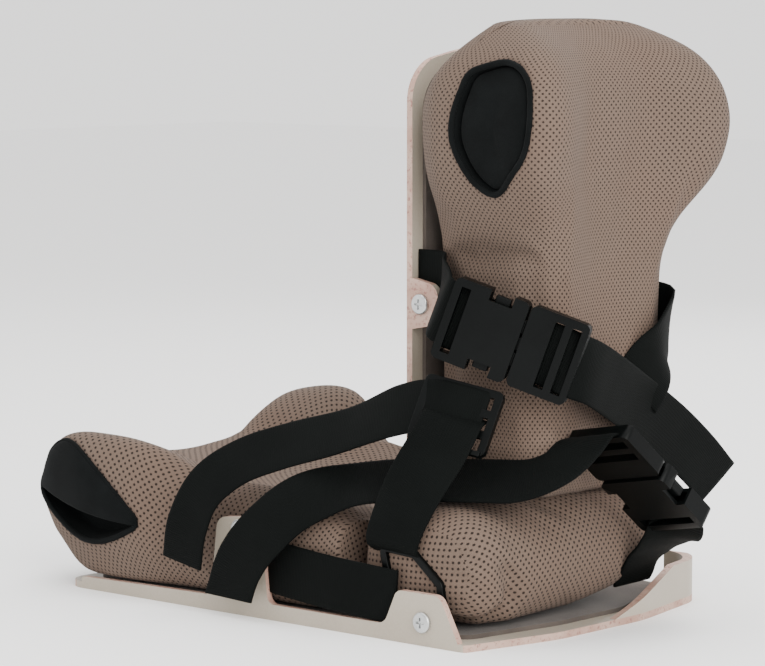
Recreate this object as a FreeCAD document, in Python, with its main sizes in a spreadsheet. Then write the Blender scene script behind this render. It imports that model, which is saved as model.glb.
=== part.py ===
"""Padded ankle foot orthosis: a flat leg shell, an upright shell, foam pads in mesh covers, and webbing straps.

Millimetres. While it is built, X runs along the leg shell (0 at its heel edge, negative towards the knee end),
Y runs across it (0 at the near edge) and Z is up from the surface it rests on.
The finished parts are then moved together so that the origin is the bottom centre of the whole object.
"""
import FreeCAD, Part
import math
import os
import re

from FreeCAD import Placement, Rotation, Vector

os.makedirs("parts", exist_ok=True)
doc = FreeCAD.newDocument("AnkleFootOrthosis")

# ---------------------------------------------------------------- driving dimensions
DIMENSIONS = {
    # shells
    "base_length": 348, "base_width": 250, "sheet": 4.5, "lining": 2.8, "rim_height": 10,
    "end_bow": 16, "corner_round": 38, "toe_round": 16, "corner_lip": 28,
    "upright_near": 67, "upright_far": 204.5, "upright_top": 361, "upright_face": 100, "foot_flange": 42,
    "tab_screw_radius": 6.5, "shank_radius": 2.5, "shank_hole": 3.0, "far_strap_gap": 0.8, "strap_gap": 0.4,
    # pads
    "cover": 3, "cover_gap": 0.4, "wing_width": 52, "wing_near": 5.6, "wing_far": 199,
    "far_face": 244, "bolster_width": 172, "column_near": 74.5, "column_width": 121, "near_lobe_out": 30,
    "far_lobe_out": 38,
    "pocket_depth": 11, "binding": 4.5, "loop_near": 7,
    # side-release buckles and the ladder lock
    "buckle_width": 52, "buckle_thick": 13, "socket_length": 48, "male_length": 40, "slot_width": 42,
    "slot_gap": 6, "prong_length": 24, "prong_width": 8.5, "prong_thick": 5, "wall": 2.2,
    "webbing": 40, "webbing_thick": 2.2, "ring_wire": 5,
}
sheet = doc.addObject("Spreadsheet::Sheet", "Dimensions")
for row, (alias, number) in enumerate(DIMENSIONS.items(), start=1):
    sheet.set(f"A{row}", alias)
    sheet.set(f"B{row}", str(number))
    sheet.setAlias(f"B{row}", alias)
doc.recompute()


def value(alias):
    """A driving dimension, read from the sheet."""
    return float(sheet.get(alias))


def bind(thing, prop, formula):
    """Ties a property to a formula in the sheet's aliases."""
    bound = re.sub(r"[a-z][a-z_]*", lambda word: "Dimensions." + word.group(0), str(formula))
    thing.setExpression(prop, bound)


parts = []


def finished(thing, label):
    """Names a sub-part and adds it to those that are written."""
    thing.Label = label
    parts.append(thing)
    return thing


# ---------------------------------------------------------------- outlines and plain solids
PLANES = {
    "XY": lambda u, v, level: Vector(u, v, level),
    "XZ": lambda u, v, level: Vector(u, level, v),
    "YZ": lambda u, v, level: Vector(level, u, v),
}
NORMALS = {"XY": Vector(0, 0, 1), "XZ": Vector(0, 1, 0), "YZ": Vector(1, 0, 0)}


def rounded_edges(points, radius, place):
    """The edges of a closed polygon whose corners are tangent arcs. A point may carry its own radius."""
    corners = []
    count = len(points)
    for i in range(count):
        before, here, after = points[i - 1], points[i], points[(i + 1) % count]
        corner_radius = here[2] if len(here) > 2 else radius
        p, a, b = (Vector(q[0], q[1], 0) for q in (here, before, after))
        to_a, to_b = (a - p).normalize(), (b - p).normalize()
        half = to_a.getAngle(to_b) / 2
        if corner_radius <= 0 or abs(math.cos(half)) < 1e-4:
            corners.append((p, p, p))
            continue
        reach = min(corner_radius / math.tan(half), 0.47 * (a - p).Length, 0.47 * (b - p).Length)
        bow = reach / math.cos(half) - reach * math.tan(half)
        corners.append((p + to_a * reach, p + (to_a + to_b).normalize() * bow, p + to_b * reach))
    edges = []
    for i, (start, middle, end) in enumerate(corners):
        following = corners[(i + 1) % count][0]
        start, middle, end, following = (place(q.x, q.y) for q in (start, middle, end, following))
        if (start - end).Length > 1e-6:
            edges.append(Part.Arc(start, middle, end))
        if (end - following).Length > 1e-6:
            edges.append(Part.LineSegment(end, following))
    return edges


def prism(points, radius, plane, level, depth, inset=0.0):
    """A rounded outline on a plane, drawn in by inset all round and at both ends, as a solid."""
    edges = rounded_edges(points, radius, lambda u, v: PLANES[plane](u, v, level + inset))
    face = Part.Face(Part.Wire([edge.toShape() for edge in edges]))
    if inset:
        face = face.makeOffset2D(-inset)
    return face.extrude(NORMALS[plane] * (depth - 2 * inset))


def shaped(label, shape):
    """A sub-part whose free form comes from Part's own functions."""
    feature = doc.addObject("Part::Feature", label)
    feature.Shape = shape
    return finished(feature, label)


def sketch_on(body, name, role, offset, outlines, radius=0.0):
    """A sketch on one of the body's own origin planes, holding closed rounded outlines and circles."""
    plane = next(f for f in body.Origin.OriginFeatures if f.Role == role)
    sketch = body.newObject("Sketcher::SketchObject", name)
    sketch.AttachmentSupport = [(plane, "")]
    sketch.MapMode = "FlatFace"
    sketch.AttachmentOffset = Placement(Vector(0, 0, offset), Rotation())
    for outline in outlines:
        if isinstance(outline, tuple):
            centre_u, centre_v, circle_radius = outline
            circle = Part.Circle(Vector(centre_u, centre_v, 0), Vector(0, 0, 1), circle_radius)
            sketch.addGeometry(circle, False)
            continue
        for edge in rounded_edges(outline, radius, lambda u, v: Vector(u, v, 0)):
            sketch.addGeometry(edge, False)
    return sketch


def pad(body, name, role, offset, outlines, length, reverse=False, radius=0.0):
    """Pads outlines by a length from the sheet."""
    feature = body.newObject("PartDesign::Pad", name)
    feature.Profile = sketch_on(body, name + "Sketch", role, offset, outlines, radius)
    bind(feature, "Length", length)
    feature.Reversed = reverse
    doc.recompute()
    return feature


def pocket(body, name, role, offset, outlines, radius=0.0):
    """Cuts outlines right through the body, both ways, and makes sure that something was cut."""
    before = body.Shape.Volume
    feature = body.newObject("PartDesign::Pocket", name)
    feature.Profile = sketch_on(body, name + "Sketch", role, offset, outlines, radius)
    feature.Type = "ThroughAll"
    feature.Midplane = True
    doc.recompute()
    if body.Shape.Volume > before - 1:
        raise RuntimeError(name + " cut nothing")
    return feature


# ---------------------------------------------------------------- shells
LENGTH, WIDTH, SHEET = value("base_length"), value("base_width"), value("sheet")
RIM = value("rim_height")
TAB_SCREWS = {"heel_tab": (-33, 14.5), "knee_tab": (-186, 55)}
UPRIGHT_SCREW = (-92.7, 199)
RIVET_ROWS = (96, 136, 176)


def base_outline():
    """The leg shell seen from above: its heel end bows out and its far corner is the rounder one."""
    toe, corner = value("toe_round"), value("corner_round")
    bow = value("end_bow")
    return [(-LENGTH, 0, toe), (0, 0, 4), (bow, 0.28 * WIDTH, 90), (bow, 0.62 * WIDTH, 90),
            (-4, WIDTH, corner), (-LENGTH, WIDTH, toe)]


def rim_outline(heel_tab):
    """One long edge of the leg shell from the side: a low rim with the tabs that rise from it."""
    toe_end = -LENGTH + value("toe_round")
    toe = [(toe_end, 0, 0), (toe_end, RIM - 2, 2), (-212, RIM, 6), (-206, 61, 9), (-168, 65, 9), (-162, RIM, 6)]
    if heel_tab:
        return toe + [(-64, RIM, 8), (-54, 32, 6), (-20, 32, 8), (-8, RIM, 5), (-3, 0, 0)]
    return toe + [(-64, RIM, 6), (-58, 0, 0)]


def base_shell():
    """The leg shell: a flat sheet with a rim and tabs on both long edges and a raised lip at its far corner."""
    body = doc.addObject("PartDesign::Body", "BaseShell")
    pad(body, "Floor", "XY_Plane", 0, [base_outline()], "sheet")
    pad(body, "NearRim", "XZ_Plane", 0, [rim_outline(True)], "sheet", reverse=True)
    pad(body, "FarRim", "XZ_Plane", SHEET - WIDTH, [rim_outline(False)], "sheet", reverse=True)
    holes = [(x, z, value("shank_hole")) for x, z in TAB_SCREWS.values()]
    pocket(body, "ScrewHoles", "XZ_Plane", 0, holes)
    doc.recompute()
    return finished(body, "base_shell")


def corner_lip():
    """The raised lip of the leg shell at its far heel corner: highest at the corner, falling both ways."""
    lip = value("corner_lip")
    edge = prism(base_outline(), 0, "XY", SHEET, lip - SHEET)
    inner = edge.copy()
    inner.translate(Vector(-SHEET, -SHEET, 0))
    ring = edge.cut(inner)
    wedge = prism([(0.45 * WIDTH, 0), (0.8 * WIDTH, lip), (WIDTH - SHEET - 0.2, lip), (WIDTH - SHEET - 0.2, 0)],
                  0, "YZ", -0.14 * LENGTH, 0.25 * LENGTH)
    return ring.common(wedge)


def upright_outline():
    """The upright shell from the front: straight sides and a low arched top."""
    near, far, top = value("upright_near"), value("upright_far"), value("upright_top")
    middle = (near + far) / 2
    return [(near, 8, 0), (near, top - 26, 40), (near + 14, top - 10, 40), (middle, top, 150),
            (far - 14, top - 10, 40), (far, top - 26, 40), (far, 8, 0)]


def upright_shell():
    """The upright shell: a plate, a foot flange that is riveted to the leg shell, and two forward strap tabs."""
    face, near, far = value("upright_face"), value("upright_near"), value("upright_far")
    flange = value("foot_flange")
    body = doc.addObject("PartDesign::Body", "UprightShell")
    pad(body, "Plate", "YZ_Plane", -face - SHEET, [upright_outline()], "sheet")
    back, foot_near, foot_far = -face - SHEET - flange, near + 7, far - 7
    foot = [(back, foot_near, 10), (-face, foot_near, 0), (-face, foot_far, 0), (back, foot_far, 10)]
    pad(body, "FootFlange", "XY_Plane", 8, [foot], "sheet")
    tab = [(-face - SHEET, 183, 0), (-face, 183, 0), (-79, 187, 9), (-79, 211, 9), (-face, 215, 0),
           (-face - SHEET, 215, 0)]
    pad(body, "NearTab", "XZ_Plane", -near, [tab], "sheet", reverse=True)
    pad(body, "FarTab", "XZ_Plane", SHEET - far, [tab], "sheet", reverse=True)
    pocket(body, "TabHoles", "XZ_Plane", 0, [(*UPRIGHT_SCREW, value("shank_hole"))])
    rivets = [(-face - SHEET - 22, y, 2.2) for y in RIVET_ROWS]
    pocket(body, "RivetHoles", "XY_Plane", 0, rivets)
    return finished(body, "upright_shell")


def linings():
    """Soft lining sheets on the inner faces of both shells."""
    lining, face = value("lining"), value("upright_face")
    floor = [(-LENGTH + 12, 12, 20), (-10, 12, 12), (2, 90, 60), (2, 150, 60), (-24, WIDTH - 14, 30),
             (-LENGTH + 12, WIDTH - 12, 20)]
    shaped("base_lining", prism(floor, 0, "XY", SHEET, lining))
    inset = [(u + 10 if u < 130 else u - 10, v, *rest) for u, v, *rest in upright_outline()]
    inset = [(u, v - 6 if v > 20 else v + 12, *rest) for u, v, *rest in inset]
    shaped("upright_lining", prism(inset, 0, "YZ", -face, lining))
    spacer = [(106, 84), (178, 84), (178, 330), (106, 330)]
    shaped("upright_foam_spacer", prism(spacer, 14, "YZ", -face + lining + 0.3, 10.3))


# ---------------------------------------------------------------- fasteners
def cylinder(radius, length, base, axis):
    return Part.makeCylinder(radius, length, base, axis)


def screw(x, y, z, outward, grip):
    """A pan-head screw with a cross recess, its head on the outer face and its shank through what it clamps."""
    axis = Vector(0, outward, 0)
    radius = value("tab_screw_radius")
    head = cylinder(radius, 2.6, Vector(x, y, z) + axis * 0.05, axis)
    head = head.makeFillet(1.6, [e for e in head.Edges if abs(e.CenterOfMass.y - (y + outward * 2.65)) < 0.01
                                 and len(e.Vertexes) == 1])
    for length, width in ((6.5, 1.5), (1.5, 6.5)):
        slot = Part.makeBox(length, 2, width, Vector(x - length / 2, -1, z - width / 2))
        slot.translate(Vector(0, y + outward * 2.4, 0))
        head = head.cut(slot)
    shank = cylinder(value("shank_radius"), grip + 1.1, Vector(x, y, z) + axis * 0.5, axis * -1)
    return head.fuse(shank)


def washer(x, y, z, outward, grip):
    """A flat washer behind what the screw clamps."""
    axis = Vector(0, -outward, 0)
    base = Vector(x, y, z) + axis * (grip + 0.05)
    ring = cylinder(value("tab_screw_radius") - 0.5, 0.9, base, axis)
    return ring.cut(cylinder(value("shank_hole"), 0.9, base, axis))


def fasteners():
    """Identical fasteners share one sub-part as separate solids."""
    thick, gap, far_gap = value("webbing_thick"), value("strap_gap"), value("far_strap_gap")
    heel_x, heel_z = TAB_SCREWS["heel_tab"]
    knee_x, knee_z = TAB_SCREWS["knee_tab"]
    side_x, side_z = UPRIGHT_SCREW
    places = [(knee_x, 0, knee_z, -1, SHEET), (knee_x, WIDTH, knee_z, 1, SHEET),
              (side_x, value("upright_near"), side_z, -1, SHEET + 2 * gap + thick),
              (side_x, value("upright_far"), side_z, 1, SHEET + 2 * far_gap + thick)]
    heel = (heel_x, 0, heel_z, -1)
    shaped("tab_screws", Part.makeCompound([screw(*heel, SHEET + 2.9)] + [screw(*place) for place in places]))
    shaped("tab_washers", Part.makeCompound([washer(*heel, SHEET)] + [washer(*place) for place in places]))
    rivets = []
    for y in RIVET_ROWS:
        base = Vector(-value("upright_face") - SHEET - 22, y, 12.55)
        stem = cylinder(2.1, 5, base, Vector(0, 0, -1))
        rivets.append(cylinder(4.5, 1.2, base, Vector(0, 0, 1)).fuse(stem))
    shaped("foot_rivets", Part.makeCompound(rivets))


# ---------------------------------------------------------------- pads
def cushion(label, points, radius, plane, level, depth, opening=None):
    """A pad as a sewn cover with its foam core inside. An opening is a solid taken out of both."""
    wall = value("cover")
    skin = prism(points, radius, plane, level, depth)
    hollow = prism(points, radius, plane, level, depth, wall)
    core = prism(points, radius, plane, level, depth, wall + value("cover_gap"))
    if opening:
        window, keep = opening
        skin, hollow, core = skin.cut(window), hollow.cut(keep), core.cut(keep)
    shaped(label + "_cover", skin.cut(hollow))
    shaped(label + "_foam", core)


# The windows in the pads' lobes: an eye-shaped outline, as wide and high as its half sizes say.
def eye(centre_u, centre_v, half_u, half_v, grow=0.0, pointed_down=True):
    half_u, half_v = half_u + grow, half_v + grow
    low = -half_v * (1.12 if pointed_down else 1.0)
    return [(centre_u - half_u * 0.45, centre_v + half_v, 9), (centre_u + half_u * 0.45, centre_v + half_v, 9),
            (centre_u + half_u, centre_v + half_v * 0.55, 12), (centre_u + half_u, centre_v - half_v * 0.35, 14),
            (centre_u, centre_v + low, 8), (centre_u - half_u, centre_v - half_v * 0.35, 14),
            (centre_u - half_u, centre_v + half_v * 0.55, 12)]


UPPER_EYE = (-17, 310, 27, 38)
LEG_EYE = (-328, 70, 44, 28)


def window(eye_size, face, inward):
    """A pocket in a lobe: (what is cut from the cover, what stays closed round it)."""
    depth = value("pocket_depth")
    start = min(face, face + inward * depth)
    cut = prism(eye(*eye_size), 0, "XZ", start - 0.01, depth + 0.02)
    keep = prism(eye(*eye_size, grow=4.0), 0, "XZ", start - 4.0, depth + 8.0)
    return cut, keep


def pads():
    """The leg pad (base and two wings), the heel bolster, and the upright pad with its two lobes."""
    near, far, width = value("wing_near"), value("wing_far"), value("wing_width")
    far_face = value("far_face")
    wing = [(-352, 9.5, 12), (-374, 34, 30), (-388, 66, 20), (-378, 98, 22), (-345, 110, 30), (-300, 101, 60),
            (-246, 80, 60), (-112, 78, 14), (-106, 60, 12), (-106, 9.5, 10)]
    cushion("near_wing", wing, 0, "XZ", near, width, window(LEG_EYE, near, 1))
    cushion("far_wing", wing, 0, "XZ", far, far_face - far, window(LEG_EYE, far_face, -1))
    middle = near + width + 0.5
    floor = [(-352, 15.5, 10), (-380, 62, 18), (-350, 76, 60), (-300, 72, 60), (-240, 58, 60), (-115, 56, 12),
             (-115, 15.5, 6)]
    cushion("leg_pad", floor, 0, "XZ", middle, far - 0.5 - middle)
    bolster = [(-94, 9.5, 12), (-96, 66, 16), (-84, 80, 20), (-12, 80, 24), (1, 62, 22), (1, 20, 16),
               (-10, 9.5, 8)]
    cushion("heel_bolster", bolster, 0, "XZ", 20, value("bolster_width"))
    column_near, across = value("column_near"), value("column_width")
    column = [(-86, 81.5, 10), (-86, 372, 16), (-20, 374, 16), (-2, 352, 30), (-6, 270, 60), (-2, 200, 60),
              (-2, 81.5, 12)]
    cushion("upright_pad", column, 0, "XZ", column_near, across)
    lobe = [(-66, 262, 20), (-70, 320, 20), (-62, 352, 18), (2, 358, 20), (22, 336, 20), (24, 290, 20),
            (0, 256, 20), (-30, 250, 20)]
    near_out, far_out = value("near_lobe_out"), value("far_lobe_out")
    near_start, far_start = column_near - 0.5 - near_out, column_near + across + 0.5
    cushion("near_lobe", lobe, 0, "XZ", near_start, near_out, window(UPPER_EYE, near_start, 1))
    cushion("far_lobe", lobe, 0, "XZ", far_start, far_out, window(UPPER_EYE, far_start + far_out, -1))


def bindings_and_flaps():
    """Each window has a sewn binding round it and a soft flap that hinges open."""
    binding = value("binding")
    near_face = value("column_near") - 0.5 - value("near_lobe_out")
    far_face = value("column_near") + value("column_width") + 0.5 + value("far_lobe_out")
    windows = {"near_lobe": (UPPER_EYE, near_face, -1), "far_lobe": (UPPER_EYE, far_face, 1),
               "near_wing": (LEG_EYE, value("wing_near"), -1), "far_wing": (LEG_EYE, value("far_face"), 1)}
    for name, (size, face, outward) in windows.items():
        start = face + (0.1 if outward > 0 else -2.1)
        ring = prism(eye(*size, grow=binding), 0, "XZ", start, 2)
        shaped(name + "_binding", ring.cut(prism(eye(*size, grow=-0.2), 0, "XZ", start - 1, 4)))
        flap_start = face + 0.8 if outward < 0 else face - 3.8
        flap = prism(eye(*size, grow=-1.2), 0, "XZ", flap_start, 3)
        if "wing" in name:
            split = Part.makeBox(200, 40, 60, Vector(size[0] - 100, face - 20, size[1] - 4))
            flap = flap.common(split)
        shaped(name + "_flap", flap)


# ---------------------------------------------------------------- buckles
def place_of(origin, along, across):
    """A placement whose x runs along the webbing and y across it."""
    x = Vector(*along).normalize()
    y = Vector(*across)
    y = (y - x * x.dot(y)).normalize()
    z = x.cross(y)
    rows = (x.x, y.x, z.x, origin[0], x.y, y.y, z.y, origin[1], x.z, y.z, z.z, origin[2], 0, 0, 0, 1)
    return Placement(FreeCAD.Matrix(*rows))


def box(name, size, corner):
    """A box whose size and corner are formulas in the sheet's aliases."""
    thing = doc.addObject("Part::Box", name)
    for prop, formula in zip(("Length", "Width", "Height"), size):
        bind(thing, prop, formula)
    for axis, formula in zip("xyz", corner):
        bind(thing, "Placement.Base." + axis, formula)
    return thing


def boolean(kind, name, base, tools):
    """A cut of several tools from a base, or a fusion of them all."""
    if kind == "Fuse":
        thing = doc.addObject("Part::MultiFuse", name)
        thing.Shapes = [base, *tools]
        return thing
    for number, tool in enumerate(tools):
        cut = doc.addObject("Part::Cut", f"{name}{number}")
        cut.Base, cut.Tool = base, tool
        base = cut
    return base


def softened(name, base, radius, keep):
    """Rounds the edges that keep picks."""
    doc.recompute()
    thing = doc.addObject("Part::Fillet", name)
    thing.Base = base
    thing.Edges = [(i, radius, radius) for i, e in enumerate(base.Shape.Edges, 1) if keep(e)]
    doc.recompute()
    return thing


def upright_edges(edge):
    """Straight edges along z."""
    start, end = edge.Vertexes[0].Point, edge.Vertexes[-1].Point
    return abs(start.x - end.x) < 1e-6 and abs(start.y - end.y) < 1e-6 and abs(start.z - end.z) > 3


def socket(name, placement):
    """The female half: a shell open at one end, notched at both sides, with a webbing slot at the other end."""
    n = name.title().replace("_", "")
    outer = box(n + "Outer", ("socket_length", "buckle_width", "buckle_thick"),
                (0, "-buckle_width/2", "-buckle_thick/2"))
    outer = softened(n + "Rounded", outer, 4, upright_edges)
    cavity = box(n + "Cavity", ("prong_length + 7", "buckle_width - 2*wall", "prong_thick + 2.4"),
                 (-1, "-buckle_width/2 + wall", "-prong_thick/2 - 1.2"))
    windows = box(n + "Windows", ("prong_length - 9", "buckle_width + 2", "prong_thick + 2.4"),
                  (10, "-buckle_width/2 - 1", "-prong_thick/2 - 1.2"))
    slot = box(n + "Slot", ("slot_gap", "slot_width", "buckle_thick + 2"),
               ("socket_length - slot_gap - 5", "-slot_width/2", "-buckle_thick/2 - 1"))
    notches = [box(f"{n}Notch{number}", ("prong_length - 9", 8, "buckle_thick + 2"),
                   (10, edge, "-buckle_thick/2 - 1"))
               for number, edge in enumerate(("buckle_width/2 - 7", "-buckle_width/2 - 1"))]
    result = boolean("Cut", n + "Cut", outer, [cavity, windows, slot, *notches])
    result.Placement = placement
    return finished(result, name)


def male(name, placement):
    """The male half: a ladder-lock frame with two slots, and a guide tongue between the prongs."""
    n = name.title().replace("_", "")
    frame = box(n + "Frame", ("male_length - 2", "buckle_width", "buckle_thick - 3"),
                ("0.6 - male_length", "-buckle_width/2", "-buckle_thick/2 + 1.5"))
    frame = softened(n + "Rounded", frame, 4, upright_edges)
    slots = [box(f"{n}Slot{number}", ("slot_gap", "slot_width", "buckle_thick + 2"),
                 (f"{start} - male_length", "-slot_width/2", "-buckle_thick/2 - 1"))
             for number, start in ((0, 5), (1, 16))]
    bridge = boolean("Cut", n + "Frames", frame, slots)
    tongue = box(n + "Tongue", ("prong_length + 3", 8, "prong_thick"), (-2, -4, "-prong_thick/2"))
    result = boolean("Fuse", n + "Fused", bridge, [tongue])
    result.Placement = placement
    return finished(result, name)


def prong(name, side, placement):
    """One release prong: an arm with a thumb button that stands in the socket's side window."""
    n = name.title().replace("_", "")
    inner = "prong_width/2 + 2" if side > 0 else "-prong_width/2 - 2 - prong_width"
    arm = box(n + "Arm", ("prong_length + 1.5", "prong_width", "prong_thick"), (-1.1, inner, "-prong_thick/2"))
    reach = "prong_width*1.5 + 1.5" if side > 0 else "-buckle_width/2 + 2.6"
    sizes = ("prong_length - 14", "buckle_width/2 - 2.6 - prong_width*1.5 - 1.5", "prong_thick")
    button = box(n + "Button", sizes, (12, reach, "-prong_thick/2"))
    result = boolean("Fuse", n + "Fused", arm, [button])
    result.Placement = placement
    return finished(result, name)


def ladder_lock(name, placement):
    """A ladder lock: a frame with two webbing slots and a raised thumb bar."""
    n = name.title().replace("_", "")
    frame = box(n + "Frame", ("male_length + 2", "buckle_width", 5), (0, "-buckle_width/2", -2.5))
    frame = softened(n + "Rounded", frame, 4, upright_edges)
    slots = [box(f"{n}Slot{number}", (8, "slot_width", 9), (start, "-slot_width/2", -4.5))
             for number, start in ((0, 5), (1, 18), (2, 31))]
    lip = box(n + "Lip", (3, "buckle_width - 4", 8), ("male_length - 0.5", "2 - buckle_width/2", -2.5))
    result = boolean("Fuse", n + "Fused", boolean("Cut", n + "Cut", frame, slots), [lip])
    result.Placement = placement
    return finished(result, name)


# Where each buckle sits: its mouth or top bar, the way its webbing runs, and the way its width runs.
UPPER_BUCKLE = place_of((-9, 60.6, 181), (-0.82, -0.463, 0.336), (0.29, 0.165, 0.942))
LOWER_BUCKLE = place_of((36, 118, 99), (0.18, 0.71, -0.68), (0.98, -0.088, 0.17))
LADDER_LOCK = place_of((-38, 47, 155), (-0.056, -0.425, -0.904), (0.93, 0.30, -0.20))


def buckles():
    """Two side-release buckles and one ladder lock."""
    for name, placement in (("upper_buckle", UPPER_BUCKLE), ("lower_buckle", LOWER_BUCKLE)):
        socket(name + "_socket", placement)
        male(name + "_male", placement)
        prong(name + "_left_prong", 1, placement)
        prong(name + "_right_prong", -1, placement)
    ladder_lock("ladder_lock", LADDER_LOCK)


def loop_and_keeper():
    """The heel tab's rigid loop and the clip that holds its lower bar behind the tab."""
    wire, level = value("ring_wire"), value("loop_near")
    outline = [(-66, 20), (-22, 20), (-24, 38), (-46, 56), (-76, 58)]
    ring = prism(outline, 6, "XZ", level, wire)
    shaped("tab_loop", ring.cut(prism(outline, 6, "XZ", level - wire, 3 * wire, wire)))
    x, z = TAB_SCREWS["heel_tab"]
    inside, outside = level - 0.4, level + wire + 0.4
    clip = [(inside - 1.1, 8), (inside, 8), (inside, 25.4), (outside, 25.4), (outside, 19.6),
            (inside + 1.2, 19.6), (inside + 1.2, 18.4), (outside + 1.3, 18.4), (outside + 1.3, 26.7),
            (inside - 1.1, 26.7)]
    keeper = prism(clip, 0, "YZ", x - 6.5, 11)
    hole = cylinder(value("shank_hole"), 3.1, Vector(x, inside - 3, z), Vector(0, 1, 0))
    shaped("loop_keeper", keeper.cut(hole))


# ---------------------------------------------------------------- webbing
def ribbon(label, stations, width, screwed):
    """A strap through stations of (point, the way its width runs): one ruled solid, with a hole if screwed."""
    thick = value("webbing_thick")
    sections = []
    for i, (point, across) in enumerate(stations):
        here = Vector(*point)
        ahead = Vector(*stations[min(i + 1, len(stations) - 1)][0])
        behind = Vector(*stations[max(i - 1, 0)][0])
        tangent = (ahead - behind).normalize()
        side = Vector(*across)
        side = (side - tangent * tangent.dot(side)).normalize()
        normal = tangent.cross(side)
        corners = [here + side * (width / 2 * s) + normal * (thick / 2 * t)
                   for s, t in ((-1, -1), (1, -1), (1, 1), (-1, 1))]
        sections.append(Part.makePolygon([*corners, corners[0]]))
    strap = Part.makeLoft(sections, True, True)
    if screwed:
        x, z = UPRIGHT_SCREW
        strap = strap.cut(cylinder(value("shank_hole"), WIDTH, Vector(x, 0, z), Vector(0, 1, 0)))
    return shaped(label, strap)


LEAN = (0.29, 0.165, 0.942)
ROUTES = {
    # from under the upright shell's near tab to the upper socket
    "upper_anchor_strap": [((-99, 73, 213), (0, 0, 1)), ((-84, 73, 213), (0, 0, 1)),
                           ((-78, 72.9, 213), (0, 0, 1)), ((-72, 66, 213), (0, 0, 1)),
                           ((-62, 46, 206), LEAN), ((-56, 37, 201), LEAN)],
    # from the upper male half across the front of the upright pad, with its free tail
    "upper_strap": [((27, 81, 166), (0, 0.5, 0.9)), ((19, 118, 152), (0, 0.5, 0.85)),
                    ((11, 160, 133), (0, 0.55, 0.82)), ((9, 196, 113), (0, 0.6, 0.8)),
                    ((10, 222, 94), (0, 0.64, 0.75)), ((11, 240, 78), (0, 0.66, 0.7))],
    # from under the far tab round the far front edge of the upright pad
    "wrap_strap": [((-97, 197.9, 196), (0, 0, 1)), ((-8, 198.8, 190), (0, 0.02, 1)),
                   ((3, 197, 184), (0, 0.2, 1)), ((4.6, 180, 166), (0, 0.6, 0.8)),
                   ((3.6, 158, 142), (0, 0.6, 0.8))],
    # from the heel tab's loop up to the ladder lock
    "adjuster_strap": [((-60, 9.5, 62), (0.97, 0.05, -0.1)), ((-52, 14, 86), (0.95, 0.15, -0.2)),
                       ((-43, 25, 108), (0.93, 0.3, -0.2))],
    # its free tail over the near wing
    "adjuster_tail": [((-56, 40, 142), (0.3, 0.2, 0.9)), ((-80, 36.5, 133.5), (0.25, 0.4, 0.85)),
                      ((-120, 26, 118), (0.25, 0.7, 0.6)), ((-160, 15, 109), (0.4, 0.8, 0.3)),
                      ((-190, 4, 98), (0.7, 0.6, 0.2)), ((-211, -9, 83), (0.85, 0.3, 0.2)),
                      ((-220, -14, 56), (0.95, 0.1, 0.15)), ((-225, -14, 30), (0.95, 0.05, 0.1))],
    # from the lower male half across the pads, with its free tail over the near rim
    "cross_strap": [((24, 74, 126), (0.98, -0.09, 0.17)), ((24, 66, 110), (0.96, -0.2, 0.2)),
                    ((14, 54, 99), (0.6, -0.5, 0.6)), ((-14, 46, 97), (0.2, -0.6, 0.75)),
                    ((-80, 42, 94), (0, -0.8, 0.6)), ((-124, 34, 91), (-0.2, -0.9, 0.3)),
                    ((-146, 14, 94), (-0.6, -0.7, 0.1)), ((-165, -6, 85), (-0.9, -0.4, 0.1)),
                    ((-180, -15, 54), (-0.95, -0.1, 0.15)), ((-190, -13, 12), (-0.95, -0.05, 0.2))],
    # from the lower socket down to the leg shell's raised corner
    "corner_anchor_strap": [((50, 162.5, 57.5), (0.98, -0.09, 0.17)), ((38, 174, 50), (0.9, 0.2, 0.3)),
                            ((23, 187, 39), (0.7, 0.5, 0.4)), ((17, 192, 33), (0.6, 0.6, 0.5))],
    # between the two near tabs, low on the pads
    "near_side_strap": [((-158, 2, 30), (0, 0, 1)), ((-110, 1.5, 30), (0, 0, 1)), ((-80, 3, 28), (0, 0, 1))],
}
SCREWED = ("upper_anchor_strap", "wrap_strap")
WIDTHS = {"near_side_strap": 34, "corner_anchor_strap": 36, "adjuster_strap": 40, "adjuster_tail": 38}


base_shell()
shaped("corner_lip", corner_lip())
upright_shell()
linings()
fasteners()
pads()
bindings_and_flaps()
buckles()
loop_and_keeper()
for route, stations in ROUTES.items():
    ribbon(route, stations, WIDTHS.get(route, value("webbing")), route in SCREWED)
doc.recompute()

# ---------------------------------------------------------------- to the object's own frame, and out
whole = FreeCAD.BoundBox()
for part in parts:
    whole.add(part.Shape.optimalBoundingBox(False))
shift = Vector(-whole.Center.x, -whole.Center.y, -whole.ZMin)
for part in parts:
    part.Placement = Placement(shift, Rotation()).multiply(part.Placement)
doc.recompute()

for thing in doc.Objects:
    if {"Invalid", "Error"} & set(thing.State):
        raise RuntimeError(f"{thing.Name} is {thing.State}")
for part in parts:
    if part.Shape.isNull() or not part.Shape.isValid() or part.Shape.Volume <= 0:
        raise RuntimeError(f"{part.Label} has no valid shape")
for part in parts:
    part.Shape.exportStep(f"parts/{part.Label}.step")
print(f"{len(parts)} parts, moved by {shift.x:.3f}, {shift.y:.3f}, {shift.z:.3f}, "
      f"box {whole.XLength:.1f} x {whole.YLength:.1f} x {whole.ZLength:.1f}")
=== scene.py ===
"""The looks of the padded ankle foot orthosis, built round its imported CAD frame."""
import math

import bmesh
import bpy
import numpy as np
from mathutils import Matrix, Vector
from mathutils.bvhtree import BVHTree


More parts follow.
